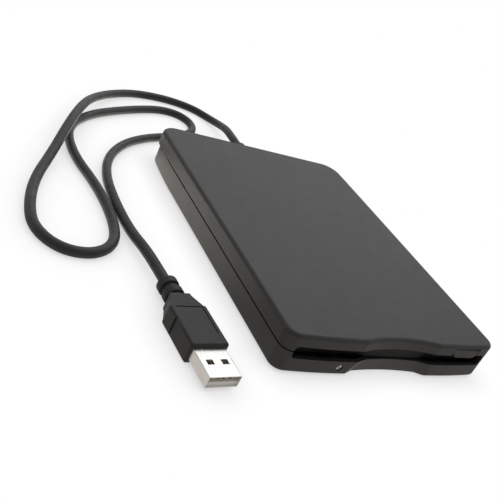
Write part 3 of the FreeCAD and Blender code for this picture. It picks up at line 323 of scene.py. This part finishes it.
def lamp_lens(dark, glint_colour):
    """Clear lens in a dark ring, with two painted highlights: pale glints in its colour."""
    low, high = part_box("led_lens")
    x = (low[0] + high[0]) / 2
    z = (low[2] + high[2]) / 2
    shader = Shader("lamp_lens", coat=0.6)
    upper = shader.spot(x + GLINT_HIGH[0], z + GLINT_HIGH[1], GLINT_HIGH_REACH)
    lower = shader.spot(x + GLINT_LOW[0], z + GLINT_LOW[1], GLINT_LOW_REACH)
    shader.colour(shader.mix(shader.math("MAXIMUM", upper, lower), dark, glint_colour))
    shader.rough(0.12, 0.2, shader.noise(0.6))
    return shader.material


def key_face():
    """Lowest and highest corners of the eject key's front face."""
    points = [vertex.co for vertex in NODES["eject_button"].data.vertices]
    front = min(point.y for point in points)
    face = [point for point in points if point.y < front + KEY_FACE_DEPTH]
    low = [min(point[axis] for point in face) for axis in range(3)]
    high = [max(point[axis] for point in face) for axis in range(3)]
    return low, high


def key_top(plastic, groove_shade_colour):
    """Key plastic with painted shade: its colour darkens in a band along the groove round its front."""
    low, high = key_face()
    shader = Shader("key_top")
    across = shader.edge(0, low[0], high[0])
    up = shader.edge(2, low[2], high[2])
    # Painted shade: the key's colour darkens within this width of its front face's edges
    groove_shade = shader.span(shader.math("MAXIMUM", across, up), 0.0, 1.0, (-KEY_GROOVE_SHADE, -KEY_GROOVE_SHADE / 2))
    shader.colour(shader.mix(groove_shade, plastic, groove_shade_colour))
    shader.satin(0.5, 0.35, 0.02)
    return shader.material


def make_slot_materials():
    """One material for each material slot of the record."""
    return {
        "black_case": case_plastic((0.025, 0.0245, 0.024), (0.030, 0.029, 0.0285), (0.16, 0.155, 0.15)),
        "rubber": moulded("rubber", (0.018, 0.018, 0.018), (0.028, 0.028, 0.028), 0.8, 0.2, 0.03),
        "screw_steel": plated("screw_black", (0.08, 0.08, 0.085), (0.13, 0.13, 0.135), 0.35),
        # The lens's second colour is its two painted highlights, pale glints
        "lamp_lens": lamp_lens((0.035, 0.034, 0.032), (0.62, 0.60, 0.57)),
        "sheet_steel": plated("sheet_steel", (0.55, 0.56, 0.57), (0.68, 0.69, 0.70), 0.34, (1, 0.1, 1)),
        "circuit_board": moulded("solder_mask", (0.012, 0.10, 0.045), (0.02, 0.15, 0.07), 0.3, 0.5, 0.01),
        "chip_black": moulded("chip_package", (0.02, 0.02, 0.021), (0.03, 0.03, 0.03), 0.55, 0.15, 0.01),
        "copper_coil": plated("copper_coil", (0.55, 0.22, 0.09), (0.72, 0.33, 0.15), 0.32),
        "bronze": plated("bronze", (0.45, 0.31, 0.14), (0.6, 0.43, 0.2), 0.4),
        "inner_plastic": moulded("inner_plastic", (0.03, 0.03, 0.032), (0.045, 0.045, 0.047), 0.5),
        "ceramic": moulded("ceramic", (0.70, 0.67, 0.58), (0.80, 0.78, 0.70), 0.2, 0.8, 0.003),
        "magnet": moulded("ferrite", (0.05, 0.05, 0.055), (0.08, 0.08, 0.085), 0.45),
        "ribbon": moulded("ribbon", (0.72, 0.71, 0.66), (0.82, 0.81, 0.77), 0.4, 1.0, 0.01),
        "cord_jacket": jacket((0.019, 0.019, 0.020), (0.026, 0.026, 0.027)),
        "plug_steel": plated("nickel_shell", (0.88, 0.86, 0.83), (0.96, 0.95, 0.93), 0.36, (1, 0.2, 1)),
        "tongue_white": moulded("tongue_white", (0.84, 0.83, 0.80), (0.90, 0.89, 0.87), 0.3, 0.8, 0.003),
        "contact_gold": plated("contact_gold", (0.70, 0.48, 0.16), (0.83, 0.62, 0.27), 0.25),
    }


def make_node_materials():
    """Materials of the nodes that look unlike the rest of their slot."""
    materials = {
        # The key's second colour is the painted shade in the groove round its front
        "eject_button": key_top((0.028, 0.028, 0.027), (0.002, 0.002, 0.002)),
        # The flap is black plastic, made far darker and duller than the case as painted shade for the
        # slot it sits in
        "dust_flap": moulded("flap_plastic", (0.006, 0.006, 0.006), (0.008, 0.008, 0.008), 0.6,
                             specular=0.25),
        "plug_grip": moulded("plug_moulding", (0.015, 0.015, 0.0155), (0.020, 0.020, 0.021), 0.52,
                             0.7, 0.035, 0.45),
    }
    materials["plug_boot"] = materials["plug_grip"]
    return materials


def dress_nodes(slot_materials, node_materials):
    """Gives every CAD node its own material, or else the material of its slot."""
    for part in frame["record"]["subparts"]:
        material = node_materials.get(part["node"], slot_materials[part["material_slot"]])
        for item in NODES[part["node"]].material_slots:
            item.material = material


def make_tube(name, points, radius, steps, roundness, material):
    """A round tube along one smooth spline that has these control points."""
    curve = bpy.data.curves.new(name, "CURVE")
    curve.dimensions = "3D"
    spline = curve.splines.new("NURBS")
    spline.points.add(len(points) - 1)
    for control, place in zip(spline.points, points):
        control.co = (*place, 1)
    spline.order_u = 3
    spline.use_endpoint_u = True
    spline.resolution_u = steps
    curve.bevel_depth = radius
    curve.bevel_resolution = roundness
    curve.use_fill_caps = True
    curve.materials.append(material)
    tube = bpy.data.objects.new(name, curve)
    bpy.context.collection.objects.link(tube)
    return tube


def make_key_shade_rim(material):
    """Painted shade at the rim of the key's opening: a thin dull black tube along the top, round the left
    end and under it.
    """
    low, high = key_face()
    middle = (low[0] + high[0]) / 2
    left = low[0] - KEY_SHADE_RIM / 2
    top = high[2] + KEY_SHADE_RIM / 2
    bottom = low[2] - KEY_SHADE_RIM / 2
    outline = [
        (high[0], top), (middle, top), (left + KEY_BEND, top), (left, top - KEY_BEND / 2),
        (left, bottom + KEY_CORNER), (left + KEY_BEND, bottom + KEY_BEND), (left + KEY_CORNER, bottom),
    ]
    slope = (high[1] - low[1]) / (high[0] - low[0])
    path = [(x, low[1] + slope * (x - low[0]) + KEY_SHADE_RIM / 4, z) for x, z in outline]
    rim = make_tube("key_painted_shade_rim", path, KEY_SHADE_RIM / 2, KEY_SHADE_RIM_STEPS, KEY_SHADE_RIM_ROUNDNESS, material)
    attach(rim, "case")


def make_cord(material):
    """The free cord, from the case to the plug."""
    route = [(x * MM, y * MM, z * MM) for x, y, z in CORD_ROUTE_MM]
    cord = make_tube("cord", route, CORD_DIAMETER / 2, CORD_STEPS, CORD_ROUNDNESS, material)
    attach(cord, "case")
    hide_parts("usb_cord")


def make_paper():
    """White with a soft contact shadow to the camera, a warm uneven glow to every other ray."""
    material = bpy.data.materials.new("paper")
    material.use_nodes = True
    nodes = material.node_tree.nodes
    links = material.node_tree.links
    nodes.remove(nodes["Principled BSDF"])
    near = nodes.new("ShaderNodeAmbientOcclusion")
    near.inputs["Distance"].default_value = SHADOW_REACH
    shade = ramp_node(nodes, (0.0, 1.0), (SHADOW_LEVEL, 1.0))
    bright = nodes.new("ShaderNodeEmission")
    place = nodes.new("ShaderNodeTexCoord")
    shift = nodes.new("ShaderNodeMapping")
    shift.vector_type = "TEXTURE"
    shift.inputs["Location"].default_value = GLOW_MIDDLE
    shift.inputs["Scale"].default_value = [1 / scale for scale in GLOW_STRETCH]
    apart = nodes.new("ShaderNodeVectorMath")
    apart.operation = "LENGTH"
    ramp = ramp_node(nodes, GLOW_REACH, GLOW_LEVELS)
    glow = nodes.new("ShaderNodeEmission")
    glow.inputs["Color"].default_value = PAPER_TINT
    seen = nodes.new("ShaderNodeLightPath")
    join = nodes.new("ShaderNodeMixShader")
    links.new(near.outputs["AO"], shade.inputs["Value"])
    links.new(shade.outputs["Result"], bright.inputs["Strength"])
    links.new(place.outputs["Object"], shift.inputs["Vector"])
    links.new(shift.outputs["Vector"], apart.inputs[0])
    links.new(apart.outputs["Value"], ramp.inputs["Value"])
    links.new(ramp.outputs["Result"], glow.inputs["Strength"])
    links.new(seen.outputs["Is Camera Ray"], join.inputs["Fac"])
    links.new(glow.outputs["Emission"], join.inputs[1])
    links.new(bright.outputs["Emission"], join.inputs[2])
    links.new(join.outputs["Shader"], nodes["Material Output"].inputs["Surface"])
    return material


def make_floor():
    """Flat paper floor."""
    mesh = bpy.data.meshes.new("floor")
    corners = [(-FLOOR_HALF, -FLOOR_HALF), (FLOOR_HALF, -FLOOR_HALF), (FLOOR_HALF, FLOOR_HALF),
               (-FLOOR_HALF, FLOOR_HALF)]
    mesh.from_pydata([(x, y, FLOOR_Z) for x, y in corners], [], [(0, 1, 2, 3)])
    mesh.materials.append(make_paper())
    floor = bpy.data.objects.new("floor", mesh)
    bpy.context.collection.objects.link(floor)


def make_room():
    """White to the camera, a soft grey room to every other ray."""
    world = bpy.data.worlds.new("room")
    bpy.context.scene.world = world
    world.use_nodes = True
    nodes = world.node_tree.nodes
    links = world.node_tree.links
    room = nodes["Background"]
    room.inputs["Color"].default_value = WHITE
    place = nodes.new("ShaderNodeTexCoord")
    towards = nodes.new("ShaderNodeVectorMath")
    towards.operation = "DOT_PRODUCT"
    towards.inputs[1].default_value = ROOM_BRIGHT_WAY
    ramp = ramp_node(nodes, (-ROOM_SPREAD, ROOM_SPREAD), ROOM_LEVELS)
    white = nodes.new("ShaderNodeBackground")
    white.inputs["Color"].default_value = WHITE
    seen = nodes.new("ShaderNodeLightPath")
    join = nodes.new("ShaderNodeMixShader")
    links.new(place.outputs["Generated"], towards.inputs[0])
    links.new(towards.outputs["Value"], ramp.inputs["Value"])
    links.new(ramp.outputs["Result"], room.inputs["Strength"])
    links.new(seen.outputs["Is Camera Ray"], join.inputs["Fac"])
    links.new(room.outputs["Background"], join.inputs[1])
    links.new(white.outputs["Background"], join.inputs[2])
    links.new(join.outputs["Shader"], nodes["World Output"].inputs["Surface"])


def make_lamps():
    """Soft rectangular lamps that face the middle of the object."""
    for name, (place, size, power) in LAMPS.items():
        data = bpy.data.lights.new(name, "AREA")
        data.shape = "RECTANGLE"
        data.size, data.size_y = size
        data.energy = power
        lamp = bpy.data.objects.new(name, data)
        lamp.location = place
        lamp.rotation_euler = (-Vector(place)).to_track_quat("-Z", "Y").to_euler()
        lamp.visible_camera = False
        bpy.context.collection.objects.link(lamp)


slot_materials = make_slot_materials()
node_materials = make_node_materials()
place_camera()
dress_nodes(slot_materials, node_materials)
# A dull black tube stands in for the shade at the rim of the key's opening
make_key_shade_rim(painted_shade_rim((0.001, 0.001, 0.001), (0.003, 0.003, 0.003)))
make_cord(slot_materials["cord_jacket"])
make_floor()
make_room()
make_lamps()
bpy.context.scene.view_settings.view_transform = "Standard"
